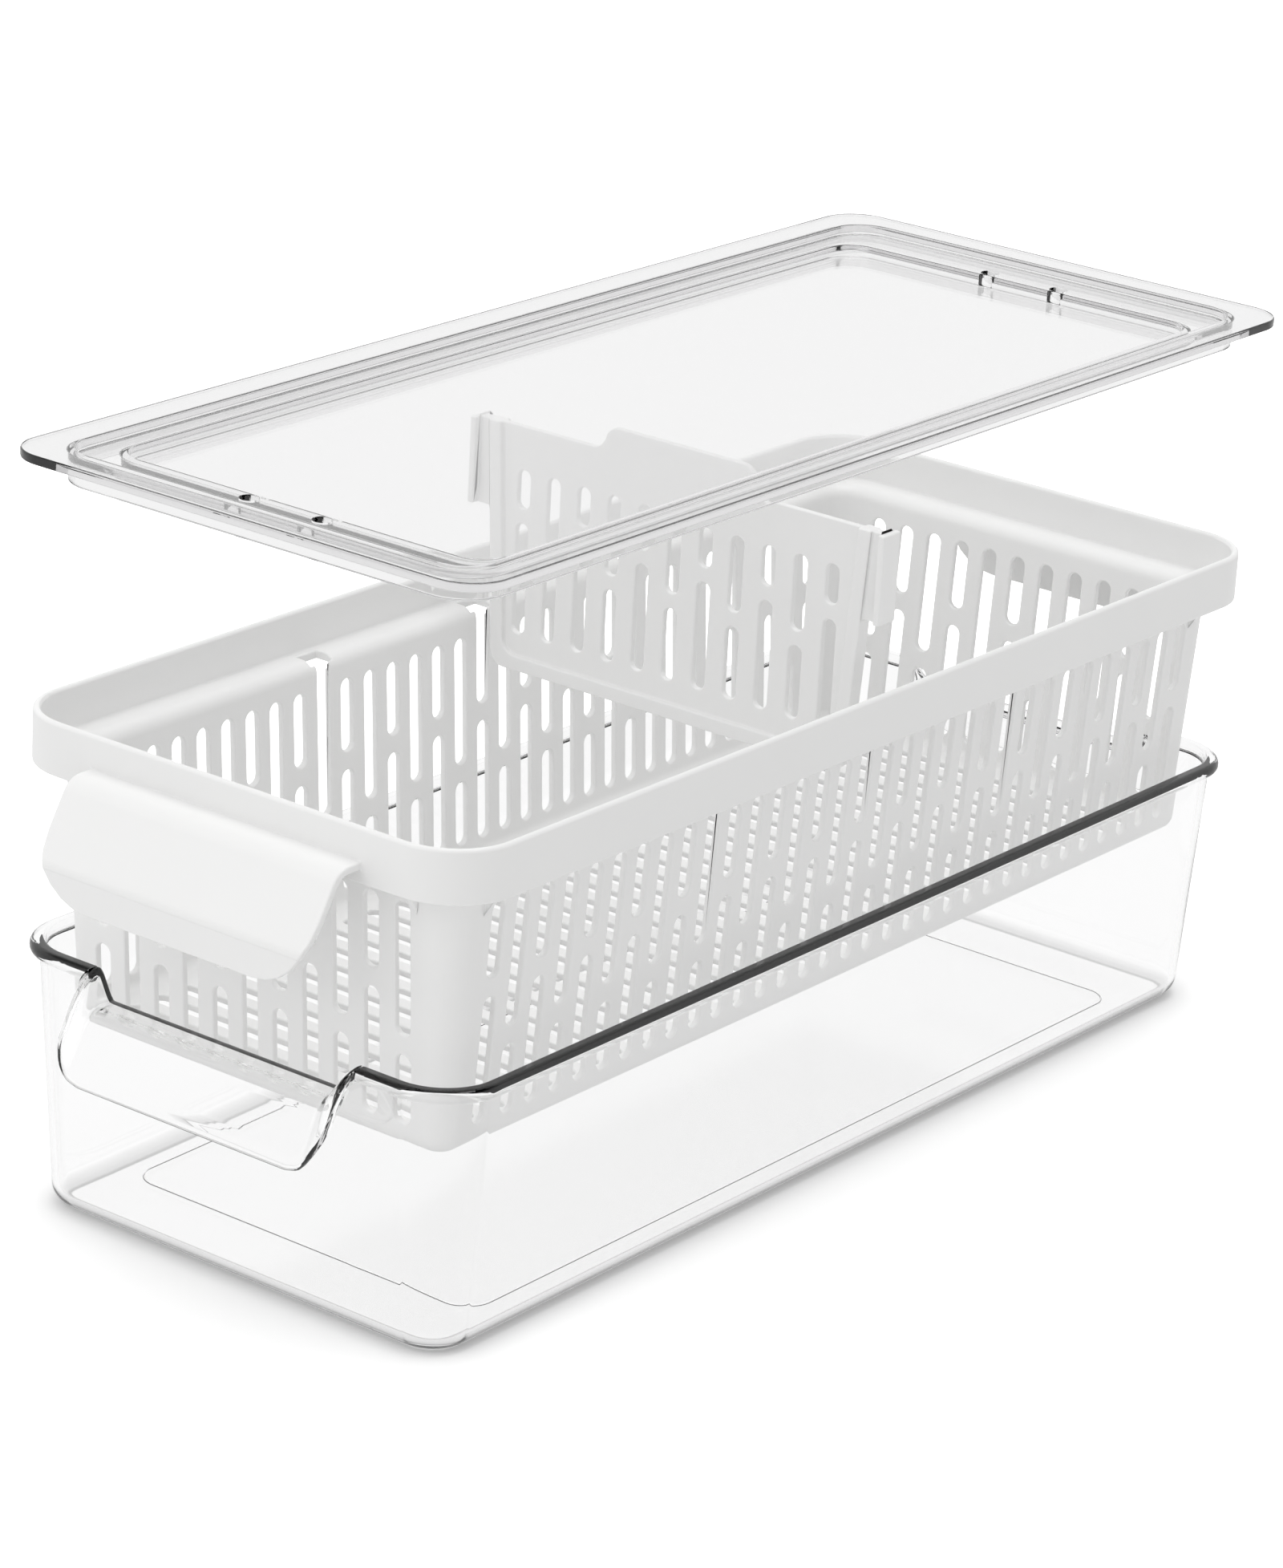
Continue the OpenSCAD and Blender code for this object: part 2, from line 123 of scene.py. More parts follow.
# Lid, with heights from the underside of its flange
FLANGE_WALL = 2.6
FLANGE_WIDTH = 10.7
LID_R = 12.5
SIDE_STEP = 6.9
END_STEP = 14.0
STEP_DEPTH = 2.8
STEP_R = 11.0
PANEL_R = 9.0
TRAY_DEPTH = 6.2
TRAY_WALL = 2.0
SKIRT_WALL = 1.8
SKIRT_HEIGHT = lid_high.z - lid_low.z - FLANGE_WALL
LID_EDGE_R = 0.5
LID_EDGE_STEPS = 4
VENT_D = 5.6
VENT_SPACING = 25.0
VENT_INSET = 3.4
VENT_STEPS = 40
VENT_CUT = 4 * TRAY_DEPTH
LID_Z = lid_high.z - FLANGE_WALL

# Rounding of the moulded edges of the basket and the divider
EDGE_R = 0.55
EDGE_STEPS = 3
EDGE_ANGLE = math.radians(32)
ROUND_PROFILE = 0.5
FLAT_ANGLE = math.radians(0.4)
SMOOTH_ANGLE = math.radians(50)

# Distances in millimetres below which points are one point, or a face has no width
SAME_POINT = 0.0001
SAME_CAD_POINT = 0.002
NO_WIDTH = 0.00001

# White plastic, with noise scales per metre and depths in millimetres
WHITE_TONES = ((0.0, (0.86, 0.86, 0.855, 1)), (1.0, (0.90, 0.90, 0.895, 1)))
WHITE_TONE_SCALE = 14.0
WHITE_TONE_DETAIL = 3.0
WHITE_ROUGHNESS = (0.34, 0.46)
WHITE_IOR = 1.49
GRAIN_SCALE = 2600.0
GRAIN_DETAIL = 2.0
GRAIN_STRENGTH = 0.06
GRAIN_DEPTH = 0.1
# Share of the light that soaks in, and how deep
SOAK_SHARE = 0.12
SOAK_DEPTH = 1.5

# Clear plastic, with noise scales and densities per metre and depths in millimetres
CLEAR_ROUGHNESS = (0.002, 0.02)
CLEAR_IOR = 1.54
CLEAR_DEPTH_COLOUR = (0.62, 0.61, 0.62, 1)
WAVE_SCALE = 16.0
WAVE_DETAIL = 1.0
WAVE_STRENGTH = 0.02
WAVE_DEPTH = 0.4
BIN_TINT = 1.0
BIN_DENSITY = 10.0
LID_TINT = 0.93
LID_DENSITY = 45.0
# Roughness added below a height: on the bin's floor, and nowhere on the lid
DULLNESS = 0.12
BIN_DULL_TOP = BIN_FLOOR + RIDGE_HEIGHT / 2
LID_DULL_TOP = 0.0
# Light that passes a clear piece, and that passes the foot of a wall, where a face is low and isn't level
LIGHT_PASSED = (0.99, 0.15)
FOOT_TOP = 6.0
LEVEL_NORMAL = 0.97

# Floor: its size and the distances of its lift to white in metres, its gap below the object in millimetres
WHITE_LIGHT = (1, 1, 1, 1)
FLOOR_SIZE = 60.0
FLOOR_GAP = 0.2
FLOOR_PAINT = (0.85, 0.85, 0.85, 1)
FLOOR_LIFT_REACH = (0.22, 0.45)
FLOOR_LIFT = (0.22, 1.0)
# Painted contact shadow: brightness of the floor that shows through the bin's foot, from inside its curve
# to outside it
PAINTED_FOOT_SHADOW = ((0.0, WHITE_LIGHT),
             (0.06, (0.4, 0.4, 0.4, 1)),
             (0.2, (0.75, 0.75, 0.75, 1)),
             (1.0, WHITE_LIGHT))

# Room: what the clear plastic shows by height, and the light on the object from the left to the right
ROOM_SEEN = ((0.62, WHITE_LIGHT), (0.82, (0.05, 0.05, 0.055, 1)))
ROOM_LIGHT = (0.88, 0.60)

# Square lamps: name, place and side in metres, and watts
LAMP_AIM = (0, 0, 0.1)
LAMPS = (("key", (-0.3, -1.6, 1.2), 1.3, 4.8),
         ("top", (0.05, 0.2, 2.2), 1.2, 14.0))


# Points and sections

def between(a, b, t):
    """Point at a share of the way from one point to another."""
    return (a[0] + (b[0] - a[0]) * t, a[1] + (b[1] - a[1]) * t)


def steps(start, end, count):
    """Evenly spaced numbers from the start up to the end, without the end."""
    return [start + (end - start) * i / count for i in range(count)]


def arc(centre, r, start, end, count):
    """Points on a circle between two angles in degrees."""
    angles = [math.radians(a) for a in steps(start, end, count) + [end]]
    return [(centre[0] + r * math.cos(a), centre[1] + r * math.sin(a)) for a in angles]


def spaced(points, count):
    """The same line with its points evenly spaced along it."""
    lengths = [0.0]
    for a, b in zip(points, points[1:]):
        lengths.append(lengths[-1] + math.dist(a, b))
    found = []
    k = 0
    for i in range(count):
        goal = lengths[-1] * i / (count - 1)
        while k < len(points) - 2 and lengths[k + 1] < goal:
            k += 1
        span = lengths[k + 1] - lengths[k]
        t = 0.0 if span == 0 else (goal - lengths[k]) / span
        found.append(between(points[k], points[k + 1], t))
    return found


def stations(stops):
    """Places round the rounded rectangle, with stops along both ends.

    Each is a point on the rectangle of the corners' centres, and the way out from it.
    """

    def corner(x, y, start):
        return [((x, y), out) for out in arc((0, 0), 1.0, start, start + 90, CORNER_STEPS)]

    front = [((x, -HALF_Y), (0.0, -1.0)) for x in stops]
    rear = [((x, HALF_Y), (0.0, 1.0)) for x in reversed(stops)]
    return (front + corner(HALF_X, -HALF_Y, -90) + corner(HALF_X, HALF_Y, 0)
            + rear + corner(-HALF_X, HALF_Y, 90) + corner(-HALF_X, -HALF_Y, 180))


def swept(places, section):
    """Shell of a section carried round the places, open at the section's two ends."""
    bm = bmesh.new()
    rings = []
    for place in places:
        (x, y), (out_x, out_y) = place
        points = [(x + out_x * u, y + out_y * u, z) for u, z in section(place)]
        rings.append([bm.verts.new(Vector(point) * MM) for point in points])
    for near, far in zip(rings, rings[1:] + rings[:1]):
        for k in range(len(near) - 1):
            bm.faces.new((near[k], far[k], far[k + 1], near[k + 1]))
    bmesh.ops.remove_doubles(bm, verts=bm.verts, dist=SAME_POINT * MM)
    bmesh.ops.dissolve_degenerate(bm, dist=NO_WIDTH * MM, edges=bm.edges)
    return bm


def ring_points(half_x, half_y, r):
    """Points round a rounded rectangle."""
    points = []
    for x, y, start in ((1, -1, -90), (1, 1, 0), (-1, 1, 90), (-1, -1, 180)):
        points += arc((x * (half_x - r), y * (half_y - r)), r, start, start + 90, CORNER_STEPS)
    return points


def add_rings(bm, rings):
    """Loops round rounded rectangles of half sizes, corner radius and height, with faces between them."""
    loops = []
    for half_x, half_y, r, z in rings:
        loops.append([bm.verts.new(Vector((x, y, z)) * MM) for x, y in ring_points(half_x, half_y, r)])
    for low, high in zip(loops, loops[1:]):
        for k in range(len(low)):
            n = (k + 1) % len(low)
            bm.faces.new((low[k], low[n], high[n], high[k]))
    return loops


def plain_object(name, bm):
    """An object in the scene from a mesh under construction."""
    mesh = bpy.data.meshes.new(name)
    bm.to_mesh(mesh)
    bm.free()
    obj = bpy.data.objects.new(name, mesh)
    bpy.context.scene.collection.objects.link(obj)
    return obj


def piece(name, bm, node, material):
    """A finished object, which stands for a node and rides on the body of the same name."""
    obj = plain_object(name, bm)
    obj.data.shade_smooth()
    obj.data.set_sharp_from_angle(angle=SMOOTH_ANGLE)
    obj.data.materials.append(material)
    weighted = obj.modifiers.new("flat_faces_first", "WEIGHTED_NORMAL")
    weighted.keep_sharp = True
    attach(obj, node)
    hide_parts(node)


# Shader nodes

def feed(tree, node, values):
    """Gives a node's inputs, by name or number, another node's output or a plain value."""
    for key, value in values.items():
        if isinstance(value, bpy.types.NodeSocket):
            tree.links.new(value, node.inputs[key])
        else:
            node.inputs[key].default_value = value


def add_node(tree, kind, values, operation=None):
    """A new node with its inputs fed."""
    node = tree.nodes.new("ShaderNode" + kind)
    if operation:
        node.operation = operation
    feed(tree, node, values)
    return node


def number(tree, operation, *values):
    """Result of a sum with numbers."""
    return add_node(tree, "Math", dict(enumerate(values)), operation).outputs["Value"]


def vector(tree, operation, *values):
    """Result of a sum with vectors that gives a vector."""
    return add_node(tree, "VectorMath", dict(enumerate(values)), operation).outputs["Vector"]


def length(tree, place):
    return add_node(tree, "VectorMath", {0: place}, "LENGTH").outputs["Value"]


def mapped(tree, value, source, target):
    """A value carried over from one range to another, and held within it."""
    ends = {"From Min": source[0], "From Max": source[1], "To Min": target[0], "To Max": target[1]}
    return add_node(tree, "MapRange", {"Value": value, **ends}).outputs["Result"]


def ramp(tree, value, stops):
    """Colour for a value, between stops that each have a place and a colour."""
    node = add_node(tree, "ValToRGB", {"Fac": value})
    elements = node.color_ramp.elements
    for element, stop in ((elements[0], stops[0]), (elements[1], stops[-1])):
        element.position, element.color = stop
    for place, colour in stops[1:-1]:
        elements.new(place).color = colour
    return node.outputs["Color"]


def noise(tree, place, scale, detail):
    return add_node(tree, "TexNoise", {"Vector": place, "Scale": scale, "Detail": detail}).outputs["Fac"]


def bumps(tree, height, strength, depth):
    """Normals of a surface with bumps, their depth in millimetres."""
    values = {"Height": height, "Strength": strength, "Distance": depth * MM}
    return add_node(tree, "Bump", values).outputs["Normal"]


def object_place(tree):
    return add_node(tree, "TexCoord", {}).outputs["Object"]


def shader(tree, kind, values):
    """Output of a new shader."""
    return add_node(tree, kind, values).outputs[0]


def mixed_shader(tree, share, first, second):
    return shader(tree, "MixShader", {"Fac": share, 1: first, 2: second})


def mixed_colour(tree, share, first, second):
    node = tree.nodes.new("ShaderNodeMix")
    node.data_type = "RGBA"
    feed(tree, node, {"Factor": share, "A": first, "B": second})
    return node.outputs["Result"]


def ray_is(tree, *kinds):
    """1 for a ray of one of these kinds, and 0 for any other."""
    outputs = add_node(tree, "LightPath", {}).outputs
    found = [outputs["Is " + kind + " Ray"] for kind in kinds]
    return number(tree, "MAXIMUM", *found) if len(found) > 1 else found[0]


def new_material(name):
    material = bpy.data.materials.new(name)
    material.use_nodes = True
    return material, material.node_tree


# Materials

def white_plastic():
    """Satin white polypropylene with a fine moulded grain."""
    material, tree = new_material("white_plastic_look")
    place = object_place(tree)
    tone = noise(tree, place, WHITE_TONE_SCALE, WHITE_TONE_DETAIL)
    grain = noise(tree, place, GRAIN_SCALE, GRAIN_DETAIL)
    feed(tree, tree.nodes["Principled BSDF"], {
        "Base Color": ramp(tree, tone, WHITE_TONES),
        "Roughness": mapped(tree, tone, (0, 1), WHITE_ROUGHNESS),
        "Normal": bumps(tree, grain, GRAIN_STRENGTH, GRAIN_DEPTH),
        "IOR": WHITE_IOR,
        "Subsurface Weight": SOAK_SHARE,
        "Subsurface Radius": (1, 1, 1),
        "Subsurface Scale": SOAK_DEPTH * MM,
    })
    return material


def passed_light(tree, height):
    """Share of light that passes: little through the curved foot of a wall, and nearly all elsewhere."""
    normal = add_node(tree, "NewGeometry", {}).outputs["Normal"]
    facing = add_node(tree, "SeparateXYZ", {0: normal}).outputs["Z"]
    steep = number(tree, "LESS_THAN", number(tree, "ABSOLUTE", facing), LEVEL_NORMAL)
    low = number(tree, "LESS_THAN", height, FOOT_TOP * MM)
    return mapped(tree, number(tree, "MULTIPLY", steep, low), (0, 1), LIGHT_PASSED)


def clear_plastic(name, tint, density, dull_top):
    """Clear styrene, polished, with the faint waviness of a moulding and dull below a height.

    It darkens with depth, as at its edges. Lamps shine through it, apart from the curved foot of a wall.
    """
    material, tree = new_material(name)
    plastic = tree.nodes["Principled BSDF"]
    place = object_place(tree)
    height = add_node(tree, "SeparateXYZ", {0: place}).outputs["Z"]
    wave = noise(tree, place, WAVE_SCALE, WAVE_DETAIL)
    polish = mapped(tree, wave, (0, 1), CLEAR_ROUGHNESS)
    dull = number(tree, "LESS_THAN", height, dull_top * MM)
    feed(tree, plastic, {
        "Base Color": (tint, tint, tint, 1),
        "Transmission Weight": 1.0,
        "IOR": CLEAR_IOR,
        "Roughness": number(tree, "MULTIPLY_ADD", dull, DULLNESS, polish),
        "Normal": bumps(tree, wave, WAVE_STRENGTH, WAVE_DEPTH),
    })
    passing = shader(tree, "BsdfTransparent", {"Color": passed_light(tree, height)})
    feed(tree, tree.nodes["Material Output"], {
        "Surface": mixed_shader(tree, ray_is(tree, "Shadow", "Diffuse"), plastic.outputs["BSDF"], passing),
        "Volume": shader(tree, "VolumeAbsorption", {"Color": CLEAR_DEPTH_COLOUR, "Density": density}),
    })
    return material


# Clear bin, with its notched rim drawn out into the pull tongue

def bin_outer(z):
    """Outer face of the wall at a height, out from the rectangle of the corners' centres."""
    return CORNER_R - RIM_OUT - math.tan(BIN_DRAFT) * (BIN_HEIGHT - z)


def rim_edge(top):
    """Round inner edge of the wall below a height."""
    inner = CORNER_R - RIM_OUT - BIN_WALL
    return arc((inner + RIM_TOP_R, top - RIM_TOP_R), RIM_TOP_R, 90, 180, RIM_TOP_STEPS)


def rim_bead():
    """Outline of the plain rim, from under it round to the inner edge."""
    low = BIN_HEIGHT - RIM_HEIGHT
    r = RIM_HEIGHT / 2
    bead = arc((CORNER_R - r, low + r), r, -90, 90, RIM_STEPS)
    return spaced([(bin_outer(low), low)] + bead + rim_edge(BIN_HEIGHT), RIM_POINTS)


def tongue_line():
    """Upper side of the pull tongue, outward from the wall's outer face and down from the notch."""
    reach = -bin_low.y - HALF_Y - bin_outer(BIN_HEIGHT - NOTCH_DEPTH)
    run = (reach - TONGUE_FLAT - TONGUE_BEND * math.cos(TONGUE_SLOPE)
           - TONGUE_LIP_BEND * (1 - math.cos(TONGUE_SLOPE)))
    lip_z = (-TONGUE_BEND * (1 - math.sin(TONGUE_SLOPE)) - run / math.tan(TONGUE_SLOPE)
             - TONGUE_LIP_BEND * math.sin(TONGUE_SLOPE))
    slope = math.degrees(TONGUE_SLOPE)
    return ([(0.0, 0.0)]
            + arc((TONGUE_FLAT, -TONGUE_BEND), TONGUE_BEND, 90, slope, TONGUE_BEND_STEPS)
            + arc((reach - TONGUE_LIP_BEND, lip_z), TONGUE_LIP_BEND, slope, 0, TONGUE_LIP_STEPS)
            + [(reach, -TONGUE_DROP)])


def held(t):
    """A number held between 0 and 1."""
    return min(1.0, max(0.0, t))


def smooth_step(t):
    """Eases from 0 to 1."""
    return held(t) ** 2 * (3 - 2 * held(t))


def notch_rise(x):
    """Height of the notched edge above the notch's bottom, at a distance from the middle."""
    inner = NOTCH_HALF - NOTCH_R
    outer = NOTCH_HALF + NOTCH_FLARE
    return NOTCH_DEPTH * smooth_step((abs(x) - inner) / (outer - inner))


def tongue_share(x, line):
    """Share of the tongue's length that its round corners leave, at a distance from the middle."""
    whole = sum(math.dist(a, b) for a, b in zip(line, line[1:]))
    inset = held((abs(x) - (TONGUE_HALF - TONGUE_CORNER)) / TONGUE_CORNER)
    return 1 - TONGUE_CORNER / whole * (1 - math.sqrt(1 - inset ** 2))


def tongue_sides(x, line, share):
    """Points on the tongue's upper and lower side, from the wall outward."""
    kept = max(2, round((TONGUE_LINE_POINTS - 1) * share) + 1)
    upper = spaced(spaced(line, TONGUE_LINE_POINTS)[:kept], TONGUE_POINTS)
    start = (bin_outer(BIN_HEIGHT - NOTCH_DEPTH), BIN_HEIGHT - NOTCH_DEPTH)
    top, low = [], []
    for i, (u, v) in enumerate(upper):
        before = upper[max(0, i - 1)]
        after = upper[min(len(upper) - 1, i + 1)]
        along = math.dist(before, after) or 1.0
        down = ((after[1] - before[1]) / along, -(after[0] - before[0]) / along)
        lost = RISE_LOST * smooth_step(u / upper[-1][0]) if share > LONG_SHARE else 0.0
        point = (start[0] + u, start[1] + v + notch_rise(x) * (1 - lost))
        top.append(point)
        low.append((point[0] + down[0] * TONGUE_WALL, point[1] + down[1] * TONGUE_WALL))
    return top, low


def rim_outline(x, line):
    """Outline of the rim at a place on an end wall, drawn out into the tongue."""
    bead = rim_bead()
    grown = held((TONGUE_HALF + TONGUE_BLEND - abs(x)) / TONGUE_BLEND)
    if grown == 0:
        return bead
    top, low = tongue_sides(x, line, tongue_share(x, line) * math.sqrt(1 - (1 - grown) ** 2))
    end = between(top[-1], low[-1], 0.5)
    turn = math.degrees(math.atan2(low[-1][1] - end[1], low[-1][0] - end[0]))
    cap = arc(end, TONGUE_WALL / 2, turn, turn + 180, TONGUE_CAP_STEPS)[1:-1]
    root_z = low[0][1] - TONGUE_ROOT
    drawn = [(bin_outer(root_z), root_z)] + low + cap + top[::-1] + rim_edge(top[0][1])
    return [between(a, b, grown) for a, b in zip(bead, spaced(drawn, RIM_POINTS))]


def end_stops():
    """Places across an end wall, close together where the tongue's sides and corners turn."""
    core = TONGUE_HALF - TONGUE_CORNER
    turned = TONGUE_HALF - TONGUE_TURN
    half = (steps(TONGUE_HALF + TONGUE_BLEND, TONGUE_HALF, BLEND_STOPS)
            + steps(TONGUE_HALF, turned, TURN_STOPS)
            + steps(turned, core, CORNER_STOPS)
            + [core, core / 2])
    return [-x for x in half] + [0.0] + half[::-1]


def close_bin_floor(bm):
    """Closes the underside, and the floor with its ridge standing on it."""
    open_edges = [e for e in bm.edges if e.is_boundary]
    above = [e for e in open_edges if e.verts[0].co.z > BIN_FLOOR / 2 * MM]
    bmesh.ops.holes_fill(bm, edges=[e for e in open_edges if e not in above], sides=0)
    half_x = HALF_X + bin_outer(0) - BIN_FOOT_R - RIDGE_INSET
    half_y = HALF_Y + bin_outer(0) - BIN_FOOT_R - RIDGE_END_INSET
    rings = []
    for inward, rise in ((0, 0), (RIDGE_HEIGHT / 2, RIDGE_HEIGHT), (RIDGE_HEIGHT, 0)):
        rings.append((half_x - inward, half_y - inward, RIDGE_R - inward, BIN_FLOOR + rise))
    loops = add_rings(bm, rings)
    bm.faces.new(loops[-1])
    outside = [bm.edges.get(pair) for pair in zip(loops[0], loops[0][1:] + loops[0][:1])]
    bmesh.ops.triangle_fill(bm, use_beauty=True, edges=above + outside, normal=(0, 0, 1))
    bmesh.ops.recalc_face_normals(bm, faces=bm.faces)


def make_bin(material):
    """One shell: underside and outer wall, rim with its tongues, inner wall and floor."""
    foot_u = bin_outer(BIN_FOOT_R) - BIN_FOOT_R
    inner_r = BIN_FOOT_R - BIN_WALL
    wall = [(bin_outer(z), z) for z in (BIN_FOOT_R + WALL_MARGIN, BIN_HEIGHT - WALL_TOP)]
    inside = [(u - BIN_WALL, z) for u, z in reversed(wall)]
    foot = [(0.0, 0.0)] + arc((foot_u, BIN_FOOT_R), BIN_FOOT_R, -90, 0, FOOT_STEPS) + wall
    floor = inside + arc((foot_u, BIN_FLOOR + inner_r), inner_r, 0, -90, FLOOR_BEND_STEPS)
    line = tongue_line()

    def section(place):
        return foot + rim_outline(place[0][0], line) + floor

    bm = swept(stations(end_stops()), section)
    close_bin_floor(bm)
    piece("clear_bin", bm, "bin", material)


# Clear lid, lofted through rounded rectangles

def lofted(rings):
    """Closed shell through rings of half sizes, corner radius and height."""
    bm = bmesh.new()
    loops = add_rings(bm, rings)
    bm.faces.new(loops[0])
    bm.faces.new(loops[-1])
    bmesh.ops.recalc_face_normals(bm, faces=bm.faces)
    return bm


def lid_rings():
    """Rings from the panel's top, out over the flange and back under it to the panel's underside."""
    flange = (lid_high.x, lid_high.y, LID_R)
    step = (flange[0] - FLANGE_WIDTH, flange[1] - FLANGE_WIDTH, STEP_R)
    panel = (step[0] - SIDE_STEP, step[1] - END_STEP, PANEL_R)
    step_z = FLANGE_WALL - STEP_DEPTH
    tray_z = FLANGE_WALL - TRAY_DEPTH
    r, wall, skirt = LID_EDGE_R, TRAY_WALL, TRAY_WALL - SKIRT_WALL

    def turn(loop, out, z, start, end):
        rounded = arc((out, z), r, start, end, LID_EDGE_STEPS)
        return [(loop[0] + d, loop[1] + d, loop[2] + d, LID_Z + h) for d, h in rounded]

    return (turn(panel, -r, tray_z + r, -90, 0)
            + turn(panel, r, step_z - r, 180, 90)
            + turn(step, -r, step_z + r, -90, 0)
            + turn(step, r, FLANGE_WALL - r, 180, 90)
            + turn(flange, -r, FLANGE_WALL - r, 90, 0)
            + turn(flange, -r, r, 0, -90)
            + turn(step, wall + r, -r, 90, 180)
            + turn(step, wall - r, r - SKIRT_HEIGHT, 0, -90)
            + turn(step, skirt + r, r - SKIRT_HEIGHT, -90, -180)
            + turn(step, skirt - r, step_z - wall - r, 0, 90)
            + turn(panel, wall + r, step_z - wall - r, 90, 180)
            + turn(panel, wall - r, tray_z - wall + r, 0, -90))


def vent_cutter():
    """Two round pins through the lid's step at each end."""
    bm = bmesh.new()
    r = VENT_D / 2 * MM
    y = lid_high.y - FLANGE_WIDTH - END_STEP + VENT_INSET
    for x in (-VENT_SPACING / 2, VENT_SPACING / 2):
        for side in (-1, 1):
            place = Matrix.Translation(Vector((x, side * y, LID_Z)) * MM)
            bmesh.ops.create_cone(bm, cap_ends=True, segments=VENT_STEPS, radius1=r, radius2=r,
                                  depth=VENT_CUT * MM, matrix=place)
    return bm


def drilled(bm, cutter_bm):
    """The first mesh less the second."""
    body, cutter = plain_object("body", bm), plain_object("cutter", cutter_bm)
    cut = body.modifiers.new("cut", "BOOLEAN")
    cut.object = cutter
    cut.solver = "EXACT"
    found = bmesh.new()
    found.from_object(body, bpy.context.evaluated_depsgraph_get())
    for obj in (body, cutter):
        mesh = obj.data
        bpy.data.objects.remove(obj)
        bpy.data.meshes.remove(mesh)
    return found


def make_lid(material):
    bm = drilled(lofted(lid_rings()), vent_cutter())
    piece("clear_lid", bm, "lid", material)


# White basket and divider, from the frame's own solids with their edges rounded

def rounded_copy(name, node, material):
    bm = bmesh.new()
    bm.from_mesh(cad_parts[node].data)
    bmesh.ops.remove_doubles(bm, verts=bm.verts, dist=SAME_CAD_POINT * MM)
    bmesh.ops.dissolve_limit(bm, angle_limit=FLAT_ANGLE, verts=bm.verts, edges=bm.edges,
                             use_dissolve_boundaries=False)
    sharp = [e for e in bm.edges if e.is_manifold and e.calc_face_angle(0.0) > EDGE_ANGLE]
    bmesh.ops.bevel(bm, geom=sharp, offset=EDGE_R * MM, offset_type="OFFSET", segments=EDGE_STEPS,
                    profile=ROUND_PROFILE, affect="EDGES", clamp_overlap=False)
    piece(name, bm, node, material)


# Floor, light and camera

def painted_foot_shadow(tree, place):
    """Painted contact shadow on the floor seen through the clear foot: dim in a line under its curve."""
    size = vector(tree, "ABSOLUTE", place)
    past = vector(tree, "SUBTRACT", size, (HALF_X * MM, HALF_Y * MM, 0))
    reach = length(tree, vector(tree, "MAXIMUM", past, (0, 0, 0)))
    curve = ((bin_outer(0) - BIN_FOOT_R) * MM, (bin_outer(0) + BIN_FOOT_R) * MM)
    return ramp(tree, mapped(tree, reach, curve, (0, 1)), PAINTED_FOOT_SHADOW)


def floor_material():
    """Pale paint for the light. The camera sees the shadow on white, and clear plastic shows white with a
    painted contact shadow under the bin's foot.
    """
    material, tree = new_material("pale_floor")
    tree.nodes.remove(tree.nodes["Principled BSDF"])
    place = object_place(tree)
    paint = shader(tree, "BsdfDiffuse", {"Color": FLOOR_PAINT})
    # Emission seen through clear plastic: white, with a painted contact shadow under the bin's foot
    glass_view_painted_shadow = shader(tree, "Emission", {"Strength": painted_foot_shadow(tree, place)})
    shaded = shader(tree, "BsdfDiffuse", {"Color": WHITE_LIGHT})
    lift = mapped(tree, length(tree, place), FLOOR_LIFT_REACH, FLOOR_LIFT)
    seen = shader(tree, "AddShader", {0: shaded, 1: shader(tree, "Emission", {"Strength": lift})})
    unseen = mixed_shader(tree, ray_is(tree, "Glossy", "Transmission"), paint, glass_view_painted_shadow)
    surface = mixed_shader(tree, ray_is(tree, "Camera"), unseen, seen)
    feed(tree, tree.nodes["Material Output"], {"Surface": surface})
    return material


def make_floor():
    bpy.ops.mesh.primitive_plane_add(size=FLOOR_SIZE, location=(0, 0, -FLOOR_GAP * MM))
    floor = bpy.context.object
    floor.name = "floor"
    floor.data.materials.append(floor_material())


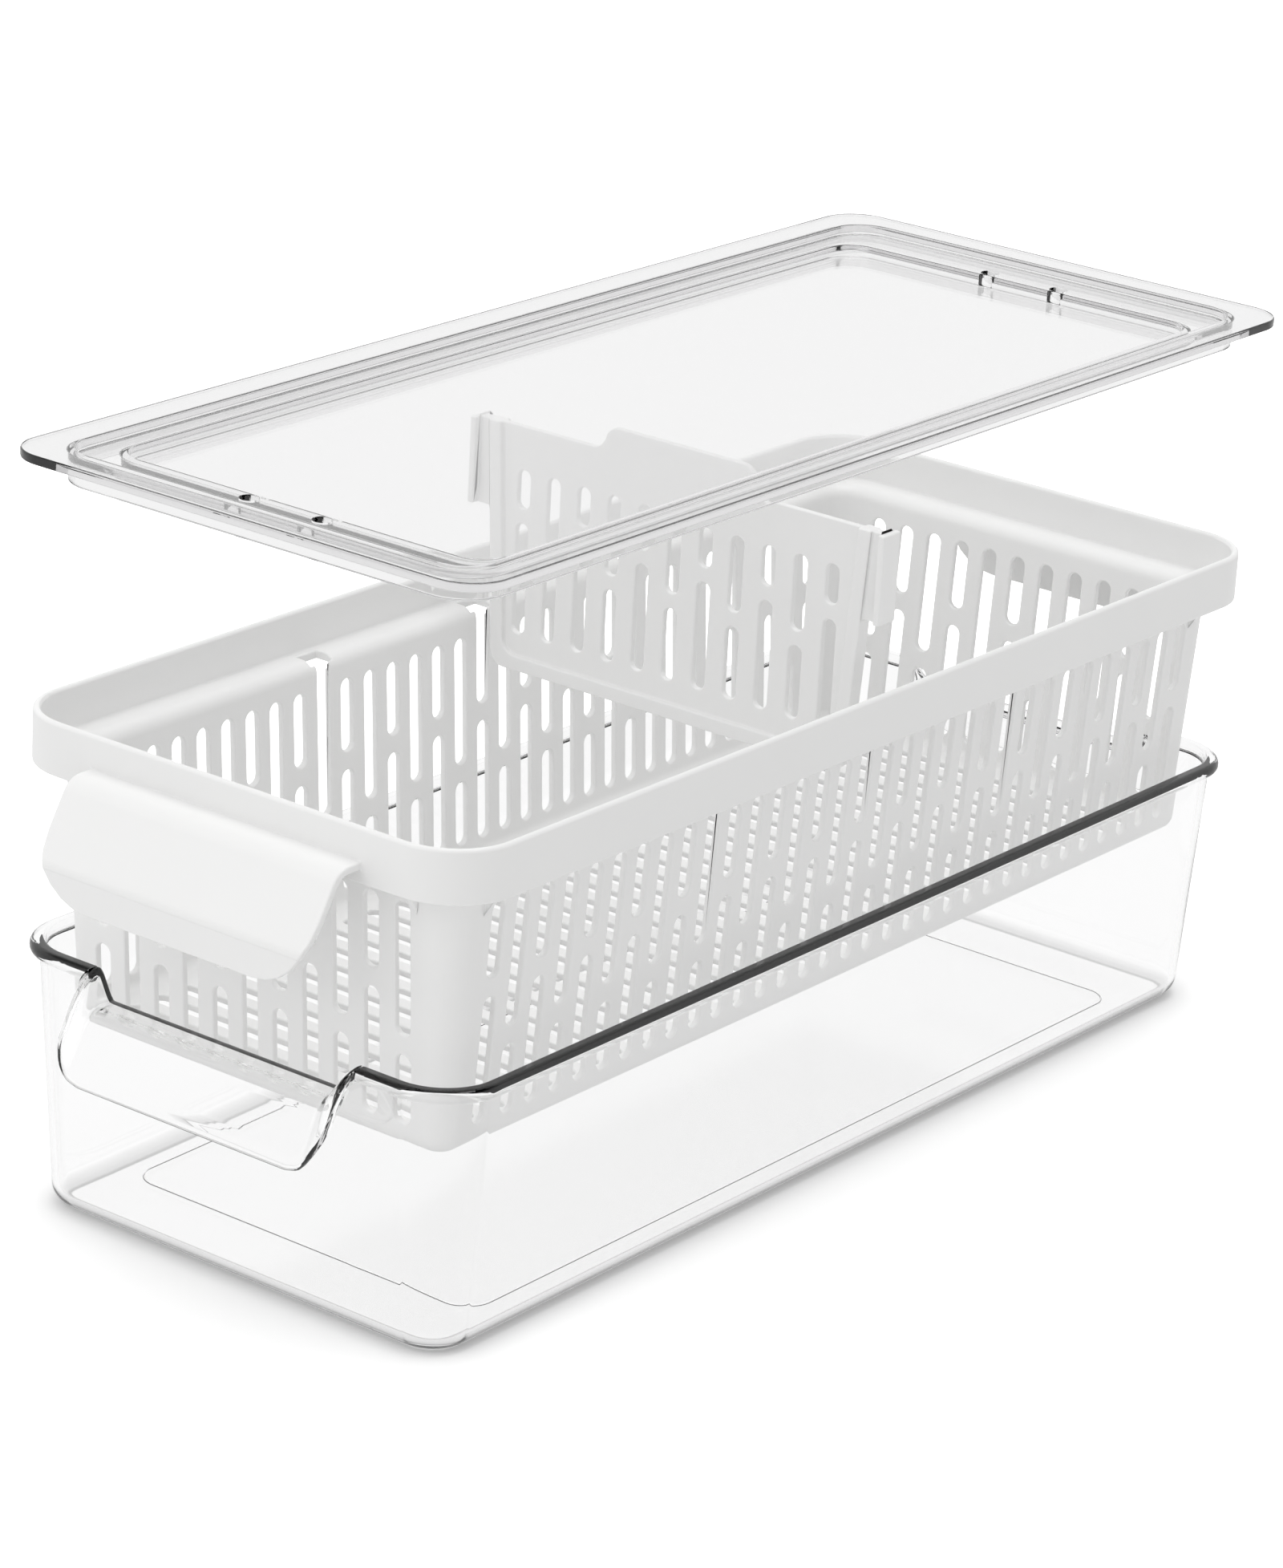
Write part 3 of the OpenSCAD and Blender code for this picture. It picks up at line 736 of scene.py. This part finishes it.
def make_world():
    """White for the camera, soft light on the object, and a room dark overhead in the clear plastic."""
    world = bpy.data.worlds.new("studio")
    bpy.context.scene.world = world
    world.use_nodes = True
    tree = world.node_tree
    way = add_node(tree, "TexCoord", {}).outputs["Generated"]
    axes = add_node(tree, "SeparateXYZ", {0: way}).outputs
    light = mapped(tree, axes["X"], (-1, 1), ROOM_LIGHT)
    shown = ramp(tree, axes["Z"], ROOM_SEEN)
    unseen = mixed_colour(tree, ray_is(tree, "Glossy", "Transmission"), light, shown)
    colour = mixed_colour(tree, ray_is(tree, "Camera"), unseen, WHITE_LIGHT)
    feed(tree, tree.nodes["Background"], {"Color": colour})


def square_lamp(name, place, side, watts):
    """A soft lamp turned to the object."""
    lamp = bpy.data.lights.new(name, "AREA")
    lamp.shape = "SQUARE"
    lamp.size = side
    lamp.energy = watts
    obj = bpy.data.objects.new(name, lamp)
    obj.location = place
    obj.rotation_euler = (Vector(LAMP_AIM) - Vector(place)).to_track_quat("-Z", "Y").to_euler()
    bpy.context.scene.collection.objects.link(obj)


def make_camera():
    az, el, roll = (math.radians(a) for a in (AZIMUTH, ELEVATION, ROLL))
    back = Vector((math.sin(az) * math.cos(el), -math.cos(az) * math.cos(el), math.sin(el)))
    right = Vector((math.cos(az), math.sin(az), 0))
    up = back.cross(right)
    place = (right * AIM_RIGHT + Vector((0, 0, AIM_HEIGHT)) + back * DISTANCE) * MM
    turned_right = right * math.cos(roll) + up * math.sin(roll)
    turned_up = up * math.cos(roll) - right * math.sin(roll)
    turn = Matrix((turned_right, turned_up, back)).transposed().to_4x4()
    data = bpy.data.cameras.new("camera")
    data.sensor_width = SENSOR
    data.lens = FOCAL_PX * SENSOR / max(PHOTO_W, PHOTO_H)
    data.clip_start = VIEW_NEAR * MM
    data.clip_end = VIEW_FAR * MM
    camera = bpy.data.objects.new("camera", data)
    bpy.context.scene.collection.objects.link(camera)
    camera.matrix_world = Matrix.Translation(place) @ turn
    bpy.context.scene.camera = camera


white = white_plastic()
make_bin(clear_plastic("clear_bin_look", BIN_TINT, BIN_DENSITY, BIN_DULL_TOP))
make_lid(clear_plastic("clear_lid_look", LID_TINT, LID_DENSITY, LID_DULL_TOP))
rounded_copy("white_basket", "basket", white)
rounded_copy("white_divider", "divider", white)

make_floor()
make_world()
for lamp in LAMPS:
    square_lamp(*lamp)
make_camera()
bpy.context.scene.view_settings.view_transform = "Standard"
